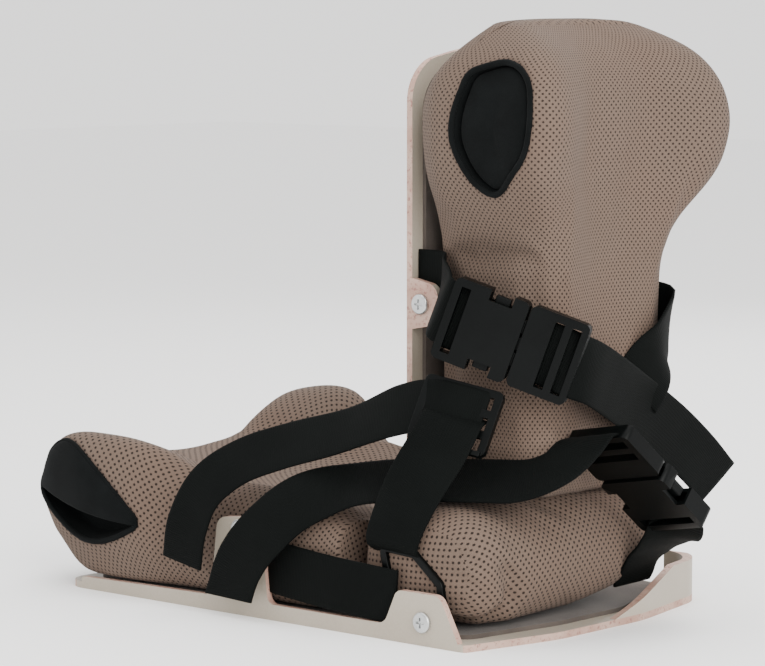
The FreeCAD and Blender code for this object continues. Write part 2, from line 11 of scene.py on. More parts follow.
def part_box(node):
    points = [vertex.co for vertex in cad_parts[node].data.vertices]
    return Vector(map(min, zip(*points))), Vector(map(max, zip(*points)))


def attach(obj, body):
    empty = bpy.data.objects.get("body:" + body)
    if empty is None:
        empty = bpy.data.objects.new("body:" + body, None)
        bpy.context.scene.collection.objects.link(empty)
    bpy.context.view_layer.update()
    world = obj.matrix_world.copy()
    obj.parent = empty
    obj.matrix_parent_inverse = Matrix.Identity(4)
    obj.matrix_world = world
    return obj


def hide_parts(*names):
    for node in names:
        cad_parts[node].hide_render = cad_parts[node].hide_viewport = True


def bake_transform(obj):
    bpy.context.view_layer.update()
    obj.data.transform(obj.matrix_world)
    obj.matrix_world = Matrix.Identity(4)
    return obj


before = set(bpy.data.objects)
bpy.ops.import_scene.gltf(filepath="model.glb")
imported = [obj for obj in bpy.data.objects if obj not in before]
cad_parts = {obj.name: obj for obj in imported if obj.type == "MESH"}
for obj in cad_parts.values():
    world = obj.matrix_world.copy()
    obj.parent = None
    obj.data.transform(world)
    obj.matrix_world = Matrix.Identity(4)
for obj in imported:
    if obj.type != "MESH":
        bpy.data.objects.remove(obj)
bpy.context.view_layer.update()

MM = 0.001
BASE_LENGTH = 0.348
shell_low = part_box("base_shell")[0]
HEEL_CORNER = Vector((shell_low.x + BASE_LENGTH, shell_low.y, 0))


def at(x, y, z):
    """A point in millimetres from the leg shell's near heel corner, in the row frame."""
    return HEEL_CORNER + Vector((x, y, z)) * MM


def points_at(points):
    """The same for an array of points."""
    return np.asarray(points, float) * MM + np.array(HEEL_CORNER)


# ---------------------------------------------------------------- camera, floor and light
def aim(thing, target):
    thing.rotation_euler = (Vector(target) - thing.location).to_track_quat("-Z", "Y").to_euler()


LENS, SENSOR_WIDTH = 155.3, 36
CAMERA_PLACE = at(1252, -1484, 388)
CAMERA_HEADING = Vector((-0.664, 0.748, 0))
CAMERA_DOWNWARD = math.radians(5.76)
FAR_CLIP = 30


def make_camera():
    data = bpy.data.cameras.new("camera")
    data.sensor_width = SENSOR_WIDTH
    data.lens = LENS
    data.clip_end = FAR_CLIP
    camera = bpy.data.objects.new("camera", data)
    bpy.context.scene.collection.objects.link(camera)
    camera.location = CAMERA_PLACE
    level = CAMERA_HEADING.normalized()
    aim(camera, camera.location + level - Vector((0, 0, math.tan(CAMERA_DOWNWARD))))
    bpy.context.scene.camera = camera


LIGHT_TARGET = at(-120, 120, 140)


def make_light(name, place, size, power, colour=(1, 1, 1)):
    """A square area light. Its size is in metres and its power in watts."""
    data = bpy.data.lights.new(name, "AREA")
    data.size = size
    data.energy = power
    data.color = colour
    light = bpy.data.objects.new(name, data)
    bpy.context.scene.collection.objects.link(light)
    light.location = place
    aim(light, LIGHT_TARGET)


FLOOR_REACH = 6
FLOOR_COLOUR = (0.95, 0.95, 0.948)
SKY_COLOUR, SKY_STRENGTH = (1.0, 0.99, 0.98, 1), 1.65


def make_floor():
    mesh = bpy.data.meshes.new("floor")
    corners = [(-1, -1), (1, -1), (1, 1), (-1, 1)]
    mesh.from_pydata([(a * FLOOR_REACH, b * FLOOR_REACH, 0) for a, b in corners], [], [(0, 1, 2, 3)])
    floor = bpy.data.objects.new("floor", mesh)
    bpy.context.scene.collection.objects.link(floor)
    mesh.materials.append(new_material("floor", FLOOR_COLOUR, 0.8)[0])


def make_stage():
    make_floor()
    world = bpy.data.worlds.new("studio")
    bpy.context.scene.world = world
    world.use_nodes = True
    sky = world.node_tree.nodes["Background"]
    sky.inputs["Color"].default_value = SKY_COLOUR
    sky.inputs["Strength"].default_value = SKY_STRENGTH
    make_light("key", at(1500, -650, 1000), size=1.5, power=46, colour=(1, 0.985, 0.96))
    make_light("left_fill", at(-1500, -900, 900), size=1.6, power=4)
    make_light("top", at(-200, 200, 1800), size=1.5, power=20)
    make_light("back", at(-600, 1600, 1100), size=1.3, power=10)


# ---------------------------------------------------------------- materials
def new_material(name, colour, roughness, metallic=0.0):
    """A material, its node tree and its shader."""
    material = bpy.data.materials.new(name)
    material.use_nodes = True
    tree = material.node_tree
    shader = tree.nodes["Principled BSDF"]
    shader.inputs["Base Color"].default_value = (*colour, 1)
    shader.inputs["Roughness"].default_value = roughness
    shader.inputs["Metallic"].default_value = metallic
    return material, tree, shader


def set_sheen(shader, weight, roughness=0.5):
    shader.inputs["Sheen Weight"].default_value = weight
    shader.inputs["Sheen Roughness"].default_value = roughness


# The sockets that a Mix node uses for colours.
MIX_SHARE, MIX_FIRST, MIX_SECOND, MIX_RESULT = 0, 6, 7, 2


class Nodes:
    """Short names for building a node tree."""

    def __init__(self, tree):
        self.tree = tree

    def add(self, kind, **settings):
        node = self.tree.nodes.new(kind)
        for key, setting in settings.items():
            setattr(node, key, setting)
        return node

    def link(self, output, socket):
        self.tree.links.new(output, socket)

    def feed(self, socket, source):
        """Sets the socket to a number or colour, or links another node's output to it."""
        if isinstance(source, (int, float)):
            socket.default_value = source
        elif isinstance(source, tuple):
            socket.default_value = (*source, 1)
        else:
            self.link(source, socket)

    def math(self, operation, a, b=None):
        node = self.add("ShaderNodeMath", operation=operation)
        self.feed(node.inputs[0], a)
        if b is not None:
            self.feed(node.inputs[1], b)
        return node.outputs[0]

    def smooth(self, source, low, high, start=0.0, end=1.0):
        """Runs from start to end, with eased ends, while source runs from low to high."""
        node = self.add("ShaderNodeMapRange", interpolation_type="SMOOTHSTEP")
        for socket, given in zip(node.inputs, (source, low, high, start, end)):
            self.feed(socket, given)
        return node.outputs[0]

    def noise(self, vector, scale, detail=2.0, roughness=0.5):
        node = self.add("ShaderNodeTexNoise")
        node.inputs["Scale"].default_value = scale
        node.inputs["Detail"].default_value = detail
        node.inputs["Roughness"].default_value = roughness
        self.link(vector, node.inputs["Vector"])
        return node.outputs[0]

    def mix(self, share, first, second):
        """The first colour where share is 0, the second where it is 1."""
        node = self.add("ShaderNodeMix", data_type="RGBA")
        self.feed(node.inputs[MIX_SHARE], share)
        self.feed(node.inputs[MIX_FIRST], first)
        self.feed(node.inputs[MIX_SECOND], second)
        return node.outputs[MIX_RESULT]

    def bump(self, height, strength, distance, shader):
        node = self.add("ShaderNodeBump")
        node.inputs["Strength"].default_value = strength
        node.inputs["Distance"].default_value = distance
        self.link(height, node.inputs["Height"])
        self.link(node.outputs[0], shader.inputs["Normal"])


def object_place(n):
    return n.add("ShaderNodeTexCoord").outputs["Object"]


def cloth_place(n):
    """Two coordinates over the cloth, in millimetres, from its own unrolled map."""
    split = n.add("ShaderNodeSeparateXYZ")
    n.link(n.add("ShaderNodeUVMap", uv_map="cloth").outputs[0], split.inputs[0])
    return n.math("MULTIPLY", split.outputs[0], 1000), n.math("MULTIPLY", split.outputs[1], 1000)


HOLE_NARROWNESS, HOLE_FLATNESS = 4.6, 1.35
HOLE_EDGE = (0.22, 0.50)
HOLE_WOBBLE = 0.12
YARN_LEAN, YARN_RATE = 0.55, 7.4
THREAD_DARK, THREAD_LIGHT = (0.094, 0.066, 0.051), (0.144, 0.105, 0.083)
THREAD_WORN, THREAD_SHADE = (0.120, 0.083, 0.064), (0.077, 0.055, 0.042)
# Painted shade: the near-black colour mixed into the mesh holes for the shade inside them.
HOLE_SHADE_COLOUR = (0.008, 0.006, 0.005)


def mesh_cloth(name, pitch, row_height, hole_shade_share):
    """Taupe spacer mesh: staggered rows of small oval holes between raised knitted ribs. The holes are filled
    with painted shade: their colour is mixed towards near-black by the given share.
    """
    material, tree, shader = new_material(name, (0.17, 0.125, 0.095), 0.85)
    n = Nodes(tree)
    u, v = cloth_place(n)
    row = n.math("DIVIDE", v, row_height)
    number = n.math("FLOOR", row)
    stagger = n.math("MULTIPLY", n.math("FLOORED_MODULO", number, 2), 0.5)
    column = n.math("ADD", n.math("DIVIDE", u, pitch), stagger)
    across = n.math("SUBTRACT", n.math("FRACT", column), 0.5)
    along = n.math("SUBTRACT", n.math("FRACT", row), 0.5)
    wide = n.math("MULTIPLY", n.math("MULTIPLY", across, across), HOLE_NARROWNESS)
    tall = n.math("MULTIPLY", n.math("MULTIPLY", along, along), HOLE_FLATNESS)
    distance = n.math("SQRT", n.math("ADD", wide, tall))
    wobble = n.math("SUBTRACT", n.noise(object_place(n), 260, 1), 0.5)
    distance = n.math("ADD", distance, n.math("MULTIPLY", wobble, HOLE_WOBBLE))
    solid = n.smooth(distance, *HOLE_EDGE)
    lean = n.math("MULTIPLY", v, YARN_LEAN)
    yarn = n.math("SINE", n.math("MULTIPLY", n.math("ADD", u, lean), YARN_RATE))
    yarn_back = n.math("SINE", n.math("MULTIPLY", n.math("SUBTRACT", u, lean), YARN_RATE))
    knit = n.math("MULTIPLY", n.math("ADD", yarn, yarn_back), 0.25)
    fuzz = n.noise(object_place(n), 2600, 2, 0.7)
    broad = n.noise(object_place(n), 14, 2)
    thread = n.mix(n.smooth(fuzz, 0.3, 0.7), THREAD_DARK, THREAD_LIGHT)
    thread = n.mix(n.smooth(broad, 0.35, 0.7), thread, THREAD_WORN)
    thread = n.mix(n.math("MULTIPLY", n.math("ADD", knit, 0.5), 0.25), thread, THREAD_SHADE)
    # Painted shade in the holes: the thread colour is taken towards near-black by the given share.
    hollow = n.mix(hole_shade_share, thread, HOLE_SHADE_COLOUR)
    n.link(n.mix(solid, hollow, thread), shader.inputs["Base Color"])
    height = n.math("ADD", solid, n.math("MULTIPLY", knit, 0.16))
    height = n.math("ADD", height, n.math("MULTIPLY", fuzz, 0.12))
    n.bump(height, 0.6, 0.0007, shader)
    set_sheen(shader, 0.03)
    shader.inputs["Specular IOR Level"].default_value = 0.08
    return material


RIB_PITCH, WARP_PITCH = 1.35, 1.1
WEBBING_DARK, WEBBING_WORN = (0.0008, 0.0012, 0.0011), (0.0018, 0.0024, 0.0022)
WEBBING_LIT = (0.0040, 0.0051, 0.0047)


def webbing_cloth():
    """Black polyester webbing: ribs across it, crossed by warp yarns."""
    material, tree, shader = new_material("webbing_cloth", (0.006, 0.0068, 0.0064), 0.7)
    n = Nodes(tree)
    u, v = cloth_place(n)
    rib = n.math("SINE", n.math("MULTIPLY", v, 2 * math.pi / RIB_PITCH))
    warp = n.math("SINE", n.math("MULTIPLY", u, 2 * math.pi / WARP_PITCH))
    weave = n.math("MULTIPLY", rib, warp)
    fuzz = n.noise(object_place(n), 1900, 2, 0.65)
    broad = n.noise(object_place(n), 28, 2)
    dark = n.mix(n.smooth(broad, 0.3, 0.8), WEBBING_DARK, WEBBING_WORN)
    lit = n.mix(n.smooth(n.math("ADD", weave, fuzz), 0.2, 1.5), dark, WEBBING_LIT)
    n.link(lit, shader.inputs["Base Color"])
    height = n.math("ADD", n.math("MULTIPLY", rib, 0.5), n.math("MULTIPLY", weave, 0.35))
    n.bump(n.math("ADD", height, n.math("MULTIPLY", fuzz, 0.3)), 0.4, 0.0003, shader)
    set_sheen(shader, 0.005, 0.45)
    shader.inputs["Specular IOR Level"].default_value = 0.05
    return material


def grained(name, low, high, roughness, grain, depth, broad_scale=22, metallic=0.0, strength=0.35,
            sheen=0.0, shine=0.5):
    """A moulded or brushed surface: broad tone, fine grain, and roughness that varies with the grain."""
    material, tree, shader = new_material(name, low, roughness, metallic)
    n = Nodes(tree)
    place = object_place(n)
    broad = n.noise(place, broad_scale, 3, 0.55)
    fine = n.noise(place, grain, 3, 0.6)
    share = n.smooth(n.math("ADD", n.math("MULTIPLY", broad, 0.7), n.math("MULTIPLY", fine, 0.3)), 0.3, 0.7)
    n.link(n.mix(share, low, high), shader.inputs["Base Color"])
    n.link(n.smooth(fine, 0.2, 0.8, roughness * 0.88, roughness * 1.12), shader.inputs["Roughness"])
    n.bump(fine, strength, depth, shader)
    set_sheen(shader, sheen)
    shader.inputs["Specular IOR Level"].default_value = shine
    return material


LAYER_LIGHT, LAYER_DARK, SPECK_COLOUR = (0.44, 0.30, 0.24), (0.36, 0.215, 0.165), (0.24, 0.11, 0.085)


def cut_edge():
    """The sawn edge of the laminated sheet: pinkish layers with darker specks."""
    material, tree, shader = new_material("cut_edge", (0.6, 0.42, 0.34), 0.6)
    n = Nodes(tree)
    place = object_place(n)
    specks = n.noise(place, 420, 3, 0.7)
    layers = n.noise(place, 60, 2)
    tone = n.mix(n.smooth(layers, 0.35, 0.7), LAYER_LIGHT, LAYER_DARK)
    n.link(n.mix(n.smooth(specks, 0.52, 0.68), tone, SPECK_COLOUR), shader.inputs["Base Color"])
    n.bump(specks, 0.3, 0.0003, shader)
    return material


make_camera()
make_stage()
WIDE_MESH = mesh_cloth("wide_mesh", pitch=4.9, row_height=2.5, hole_shade_share=0.92)
FINE_MESH = mesh_cloth("fine_mesh", pitch=3.4, row_height=2.15, hole_shade_share=0.84)
WEBBING = webbing_cloth()
PLASTIC = grained("black_acetal", (0.0010, 0.0014, 0.0014), (0.0022, 0.0028, 0.0028), roughness=0.36,
                  grain=900, depth=0.00012, strength=0.25, shine=0.09)
SHELL = grained("cream_sheet", (0.31, 0.27, 0.215), (0.37, 0.325, 0.265), roughness=0.42,
                grain=700, depth=0.0001, broad_scale=9, strength=0.15, shine=0.35)
EDGE = cut_edge()
LINING = grained("brushed_lining", (0.06, 0.048, 0.041), (0.10, 0.082, 0.07), roughness=0.9,
                 grain=1500, depth=0.0004, broad_scale=30, strength=0.6, sheen=0.1, shine=0.2)
KNIT = grained("black_knit", (0.0016, 0.0021, 0.0022), (0.0036, 0.0044, 0.0046), roughness=0.85,
               grain=1700, depth=0.0004, broad_scale=40, strength=0.6, sheen=0.01, shine=0.07)
ZINC = grained("zinc", (0.42, 0.43, 0.43), (0.6, 0.61, 0.61), roughness=0.36,
               grain=1200, depth=0.00008, broad_scale=60, metallic=1.0, strength=0.2)


# ---------------------------------------------------------------- mesh helpers
def new_object(name, vertices, faces, material, uvs=None):
    """A mesh object. uvs holds one pair for each face corner, in metres over the cloth."""
    mesh = bpy.data.meshes.new(name)
    mesh.from_pydata([tuple(v) for v in vertices], [], [tuple(int(i) for i in f) for f in faces])
    if uvs is not None:
        layer = mesh.uv_layers.new(name="cloth")
        layer.data.foreach_set("uv", np.asarray(uvs, np.float32).ravel())
    mesh.materials.append(material)
    mesh.polygons.foreach_set("use_smooth", [True] * len(mesh.polygons))
    thing = bpy.data.objects.new(name, mesh)
    bpy.context.scene.collection.objects.link(thing)
    return thing


def turn_faces_outward(thing):
    edited = bmesh.new()
    edited.from_mesh(thing.data)
    bmesh.ops.recalc_face_normals(edited, faces=edited.faces)
    edited.to_mesh(thing.data)
    edited.free()


SPAN_SAMPLES = 40


def catmull_rom(a, b, c, d, t):
    """The place at t, from 0 at b to 1 at c, on a smooth curve through four points."""
    square, cube = (2 * a - 5 * b + 4 * c - d) * t ** 2, (3 * b - a - 3 * c + d) * t ** 3
    return 0.5 * (2 * b + (c - a) * t + square + cube)


def spline(points, count, closed=False):
    """Evenly spread points on a Catmull-Rom curve through the given ones."""
    points = np.asarray(points, float)
    total = len(points)
    spans = total if closed else total - 1
    samples = []
    for i in range(spans):
        if closed:
            a, b, c, d = (points[(i + k) % total] for k in (-1, 0, 1, 2))
        else:
            b, c = points[i], points[i + 1]
            a = points[i - 1] if i else 2 * b - c
            d = points[i + 2] if i + 2 < total else 2 * c - b
        samples += [catmull_rom(a, b, c, d, t) for t in np.linspace(0, 1, SPAN_SAMPLES, endpoint=False)]
    samples.append(points[0] if closed else points[-1])
    samples = np.array(samples)
    steps = np.linalg.norm(np.diff(samples[:, :3], axis=0), axis=1)
    run = np.concatenate([[0], np.cumsum(steps)])
    wanted = np.linspace(0, run[-1], count + 1 if closed else count)
    if closed:
        wanted = wanted[:-1]
    return np.stack([np.interp(wanted, run, samples[:, k]) for k in range(samples.shape[1])], axis=1)


def apply_modifiers(thing):
    """Replaces the object's mesh by the one that its modifiers make."""
    graph = bpy.context.evaluated_depsgraph_get()
    graph.update()
    mesh = bpy.data.meshes.new_from_object(thing.evaluated_get(graph))
    thing.modifiers.clear()
    thing.data = mesh


def subdivide(thing):
    rounding = thing.modifiers.new("subdivision", "SUBSURF")
    rounding.levels = 1
    rounding.render_levels = 1
    apply_modifiers(thing)


def thicken(thing, thickness):
    """Gives a sheet its thickness, half of it to each side, and rounds the result."""
    solid = thing.modifiers.new("thickness", "SOLIDIFY")
    solid.thickness = thickness
    solid.offset = 0
    apply_modifiers(thing)
    subdivide(thing)


def coordinates(thing, kind="co"):
    """The mesh's points as an array, or with kind="normal" the normals there."""
    values = np.zeros(len(thing.data.vertices) * 3)
    thing.data.vertices.foreach_get(kind, values)
    return values.reshape(-1, 3)


def set_coordinates(thing, co):
    thing.data.vertices.foreach_set("co", co.astype(np.float32).ravel())
    thing.data.update()


DOME_STEPS = 7
DOME_LIFT = 0.10


def add_dome(vertices, faces, uvs, first, rim, next_ring, flip):
    """Closes one end of a loft with a low dome. The rim's points start at number first."""
    count = len(rim)
    centre = rim.mean(0)
    outward = centre - next_ring.mean(0)
    outward /= np.linalg.norm(outward)
    size = np.linalg.norm(rim - centre, axis=1).mean()
    axis_u = rim[count // 4] - rim[3 * count // 4]
    axis_u -= outward * (axis_u @ outward)
    axis_u /= np.linalg.norm(axis_u)
    axis_v = np.cross(outward, axis_u)

    def add_face(*corners):
        corners = corners[::-1] if flip else corners
        faces.append(corners)
        offsets = [np.asarray(vertices[i]) - centre for i in corners]
        uvs.extend((offset @ axis_u, offset @ axis_v) for offset in offsets)

    previous = list(range(first, first + count))
    for step in range(1, DOME_STEPS):
        share = 1 - step / DOME_STEPS
        lift = DOME_LIFT * size * math.sqrt(1 - share ** 2)
        ring = [len(vertices) + j for j in range(count)]
        vertices += [centre + (p - centre) * share + outward * lift for p in rim]
        for j in range(count):
            k = (j + 1) % count
            add_face(previous[j], previous[k], ring[k], ring[j])
        previous = ring
    tip = len(vertices)
    vertices.append(centre + outward * (DOME_LIFT * size))
    for j in range(count):
        add_face(previous[j], previous[(j + 1) % count], tip)


def lofted(name, rings, material, row_along=False):
    """A closed soft form through rings of equal length, with domed ends.

    The cloth map follows the form's own surface. With row_along, the cloth's rows run along the form.
    """
    rings = np.asarray(rings, float)
    count = rings.shape[1]
    spacing = np.linalg.norm(np.diff(rings, axis=1, append=rings[:, :1]), axis=2).mean(0)
    around = np.concatenate([[0], np.cumsum(spacing)])
    gaps = np.linalg.norm(np.diff(rings, axis=0), axis=2).mean(1)
    length = np.concatenate([[0], np.cumsum(gaps)])
    vertices = list(rings.reshape(-1, 3))
    faces, uvs = [], []
    for i in range(len(rings) - 1):
        for j in range(count):
            k = (j + 1) % count
            faces.append((i * count + j, i * count + k, (i + 1) * count + k, (i + 1) * count + j))
            corners = [(around[a], length[b]) for a, b in ((j, i), (j + 1, i), (j + 1, i + 1), (j, i + 1))]
            uvs += [(b, a) if row_along else (a, b) for a, b in corners]
    add_dome(vertices, faces, uvs, 0, rings[0], rings[1], True)
    add_dome(vertices, faces, uvs, (len(rings) - 1) * count, rings[-1], rings[-2], False)
    thing = new_object(name, vertices, faces, material, uvs)
    turn_faces_outward(thing)
    return thing


AIR_PRESSURE = 4.0
CLOTH_FRAMES = 20


def inflate(thing, cap, held_below):
    """Blows the cover up as cloth. Points below a height are held, and none goes further than the cap."""
    before = coordinates(thing)
    held = thing.vertex_groups.new(name="held")
    held.add([int(i) for i in np.where(before[:, 2] < held_below)[0]], 1.0, "REPLACE")
    cloth = thing.modifiers.new("cloth", "CLOTH")
    cloth.settings.quality = 5
    cloth.settings.mass = 0.3
    cloth.settings.tension_stiffness = 12
    cloth.settings.compression_stiffness = 8
    cloth.settings.bending_stiffness = 0.4
    cloth.settings.use_pressure = True
    cloth.settings.uniform_pressure_force = AIR_PRESSURE
    cloth.settings.vertex_group_mass = "held"
    cloth.settings.effector_weights.gravity = 0
    cloth.collision_settings.use_self_collision = False
    scene = bpy.context.scene
    for number in range(1, CLOTH_FRAMES + 1):
        scene.frame_set(number)
    apply_modifiers(thing)
    moved = coordinates(thing) - before
    length = np.linalg.norm(moved, axis=1, keepdims=True)
    moved *= np.minimum(1, cap / np.maximum(length, 1e-9))
    set_coordinates(thing, before + moved)
    thing.vertex_groups.clear()
    scene.frame_set(1)


def blur_along(values, passes):
    for _ in range(passes):
        values[1:-1] = (values[:-2] + 2 * values[1:-1] + values[2:]) / 4
    return values


def between(x, pairs):
    """A smooth curve through (place, value) pairs."""
    places, amounts = zip(*pairs)
    fine = np.linspace(places[0], places[-1], 200)
    curve = blur_along(np.interp(fine, places, amounts), 60)
    return float(np.interp(x, fine, curve))


def ramp(value, start, reach):
    """Rises from 0 at start to 1 a reach further on."""
    return min(1, max(0, (value - start) / reach))


# ---------------------------------------------------------------- pads
def crease(thing, path, depth, width):
    """Presses a sewn or tucked line into a pad: points near the path move in along their normals."""
    route = points_at(spline(path, 40))
    co = coordinates(thing)
    gap = np.min(np.linalg.norm(co[:, None] - route[None], axis=2), axis=1)
    press = depth * np.exp(-(gap / width) ** 2)
    set_coordinates(thing, co - coordinates(thing, "normal") * press[:, None])


def wrinkle(thing, centre, reach, direction, pitch, depth):
    """Soft parallel folds round a place, as where a strap or corner gathers the cover."""
    co = coordinates(thing)
    offset = co - np.array(at(*centre))
    fade = np.exp(-(np.linalg.norm(offset, axis=1) / reach) ** 2)
    direction = np.array(direction) / np.linalg.norm(direction)
    phase = offset @ direction / pitch * 2 * math.pi
    bend = 1.3 * np.sin(offset @ np.roll(direction, 1) / (pitch * 3.1) * 2 * math.pi)
    folds = depth * fade * np.sin(phase + bend)
    set_coordinates(thing, co + coordinates(thing, "normal") * folds[:, None])


# Each pad is a row of sections. These curves give a section's measures, in millimetres from the near heel
# corner, as (place of the section, value) pairs.
LEG_WIDTH = 250
SOLE = 9.5
NEAR_CREST = [(-388, 40), (-384, 80), (-372, 96), (-345, 100), (-310, 99), (-284, 95), (-258, 84),
              (-235, 78), (-180, 77), (-125, 76), (-108, 66)]
FAR_CREST = [(-388, 46), (-384, 88), (-372, 104), (-350, 111), (-325, 115), (-306, 114), (-290, 104),
             (-276, 84), (-250, 79), (-180, 78), (-125, 77), (-108, 66)]
NEAR_FLANK = [(-388, 12), (-380, 3), (-340, -1.5), (-290, 0), (-240, 4), (-106, 6)]
END_TUCK = [(-388, 12), (-382, 3), (-370, 0), (-117, 0), (-106, 9)]
FLOOR = [(-388, 34), (-384, 66), (-372, 78), (-320, 74), (-240, 60), (-115, 56), (-108, 50)]
UNDERCUT = 36


LEG_STATIONS = np.concatenate([[-387.5, -386, -383.5, -380], np.linspace(-375, -118, 52),
                               [-114, -111, -108.5, -107]])


def leg_pad():
    """The leg pad: a trough between two wings whose lobes rise at the knee end, which is cut back below."""
    rings = []
    for x in LEG_STATIONS:
        near_top, far_top, floor = between(x, NEAR_CREST), between(x, FAR_CREST), between(x, FLOOR)
        near = between(x, NEAR_FLANK)
        low = SOLE + between(x, END_TUCK)
        far = LEG_WIDTH - near
        section = [(near + 9, low), (near + 2, low + 8), (near - 1, low + 0.45 * (near_top - low)),
                   (near + 1, low + 0.78 * (near_top - low)), (near + 8, near_top - 3), (near + 19, near_top),
                   (near + 34, near_top - 5), (near + 50, 0.55 * near_top + 0.45 * floor),
                   (near + 66, floor + 3), (100, floor), (125, floor - 1), (150, floor),
                   (far - 66, floor + 4), (far - 48, 0.55 * far_top + 0.45 * floor),
                   (far - 32, far_top - 4), (far - 18, far_top),
                   (far - 8, far_top - 4), (far - 1, low + 0.76 * (far_top - low)),
                   (far, low + 0.45 * (far_top - low)), (far - 1, low + 8), (far - 9, low),
                   (186, low - 0.5), (125, low - 0.5), (64, low - 0.5)]
        loop = spline(section, 132, closed=True)
        sheared = x + UNDERCUT * np.clip((58 - loop[:, 1]) / 48, 0, 1) * ramp(-x, 250, 100)
        rings.append(points_at(np.column_stack([sheared, loop])))
    pad = lofted("leg_pad_fabric", rings, WIDE_MESH, row_along=True)
    inflate(pad, cap=0.0040, held_below=0.0125)
    return pad


BOLSTER_NEAR, BOLSTER_FAR = 12, 193
BOLSTER_BACK, BOLSTER_FRONT, BOLSTER_TOP = -95, 3.5, 81
BOLSTER_SOLE = [(12, 2), (40, 0), (120, 2), (160, 8), (193, 24)]
BOLSTER_RISE = [(12, -2), (60, 0), (120, 3), (193, -4)]
BOLSTER_STATIONS = np.concatenate([[13, 14.5, 17, 21, 26], np.linspace(32, 176, 34),
                                   [181, 185, 188, 190, 191.5]])


def heel_bolster():
    """The heel bolster: a fat rounded pad across the heel end, tucked at its lower near corner."""
    rings = []
    for y in BOLSTER_STATIONS:
        end = min(1.0, max(0.0, (y - BOLSTER_NEAR) / 22), max(0.0, (BOLSTER_FAR - y) / 20))
        full = math.sqrt(max(0.0, 1 - (1 - end) ** 2))
        drop = 5 * (1 - full)
        low = SOLE + (1 - full) * 9 + between(y, BOLSTER_SOLE)
        top = BOLSTER_TOP - (1 - full) * 14 + between(y, BOLSTER_RISE)
        front = BOLSTER_FRONT - (1 - full) * 16
        back = BOLSTER_BACK + (1 - full) * 8
        section = [(back + 6, low + 1), (back, low + 14), (back + 1, top - 16), (back + 12, top - 3),
                   (back + 34, top), (front - 34, top + 1), (front - 14, top - 4), (front - 3, top - 16),
                   (front, (low + top) / 2), (front - 2, low + 14), (front - 12, low + 2),
                   (front - 40, low - drop * 0.1), (back + 30, low)]
        loop = spline(section, 84, closed=True)
        rings.append(points_at(np.column_stack([loop[:, 0], np.full(len(loop), y), loop[:, 1]])))
    pad = lofted("heel_bolster_fabric", rings, WIDE_MESH, row_along=True)
    inflate(pad, cap=0.004, held_below=0.013)
    crease(pad, [(0, 36, 44), (1.5, 41, 38), (2, 43, 28), (-1, 40, 20), (-6, 33, 15)],
           depth=0.008, width=0.0065)
    crease(pad, [(-30, 17, 14), (-12, 24, 12), (-2, 36, 14)], depth=0.006, width=0.005)
    wrinkle(pad, (-6, 30, 44), reach=0.03, direction=(0.2, 0.7, 0.8), pitch=0.013, depth=0.0012)
    return pad


UPRIGHT_NEAR = [(84, 80), (92, 75), (236, 74), (258, 62), (280, 46), (300, 42), (345, 43), (362, 50),
                (370, 56), (376, 66)]
UPRIGHT_FAR = [(84, 190), (92, 196), (232, 198), (252, 203), (268, 218), (286, 232), (312, 237),
               (334, 233), (350, 224), (362, 214), (370, 204), (376, 190)]
UPRIGHT_CREST = [(84, -8), (92, 0), (225, 3), (256, 10), (284, 22), (315, 27), (340, 24), (358, 16),
                 (368, 6), (376, -14)]
UPRIGHT_TROUGH = [(84, -8), (110, -4), (240, -4), (300, 4), (345, 6), (362, 0), (370, -8), (376, -20)]
UPRIGHT_BACK = [(84, -80), (92, -87), (330, -87), (342, -80), (354, -66), (366, -52), (376, -40)]
UPRIGHT_FLANK = [(84, -78), (225, -86), (258, -78), (285, -70), (332, -70), (345, -68), (356, -58),
                 (366, -46), (376, -36)]
UPRIGHT_STATIONS = np.concatenate([[84.5, 86, 89, 93], np.linspace(98, 348, 52),
                                   [353, 357.5, 361.5, 365, 368.5, 371.5, 374, 376]])


def upright_pad():
    """The upright pad: a shallow trough facing the heel end, flaring into two lobes near its top."""
    rings = []
    for z in UPRIGHT_STATIONS:
        near, far = between(z, UPRIGHT_NEAR), between(z, UPRIGHT_FAR)
        crest, trough = between(z, UPRIGHT_CREST), between(z, UPRIGHT_TROUGH)
        back, flank = between(z, UPRIGHT_BACK), between(z, UPRIGHT_FLANK)
        reach = min(1.0, max(0.0, (74 - near) / 32))
        inner = 48 + 16 * reach
        section = [(back, near + 8 + 26 * reach), (back + 1, near + 3 + 16 * reach),
                   (flank, near + 1 + 4 * reach), (flank + 12, near - 0.5), (-36, near - 0.5),
                   (crest - 20, near), (crest - 6, near + 2), (crest, near + 9), (crest - 1, near + 24),
                   (trough + 1, near + inner), (trough, (near + far) / 2), (trough + 1, far - inner),
                   (crest - 1, far - 24), (crest, far - 8), (crest - 6, far - 1), (crest - 20, far),
                   (-36, far + 0.5), (flank + 12, far + 0.5), (flank, far - 1 - 4 * reach),
                   (back + 1, far - 3 - 16 * reach), (back, far - 8 - 26 * reach), (back, (near + far) / 2)]
        loop = spline(section, 128, closed=True)
        rings.append(points_at(np.column_stack([loop, np.full(len(loop), z)])))
    pad = lofted("upright_pad_fabric", rings, FINE_MESH)
    inflate(pad, cap=0.0030, held_below=0.088)
    return pad


# ---------------------------------------------------------------- windows in the lobes
NEAR, FAR = -1, 1
OUTLINE_POINTS = 72


def outline(centre_u, centre_v, half_u, half_v, shape):
    """A smooth closed outline from (u, v) factors of its half sizes."""
    corners = [(centre_u + a * half_u, centre_v + b * half_v) for a, b in shape]
    return spline(corners, OUTLINE_POINTS, closed=True)


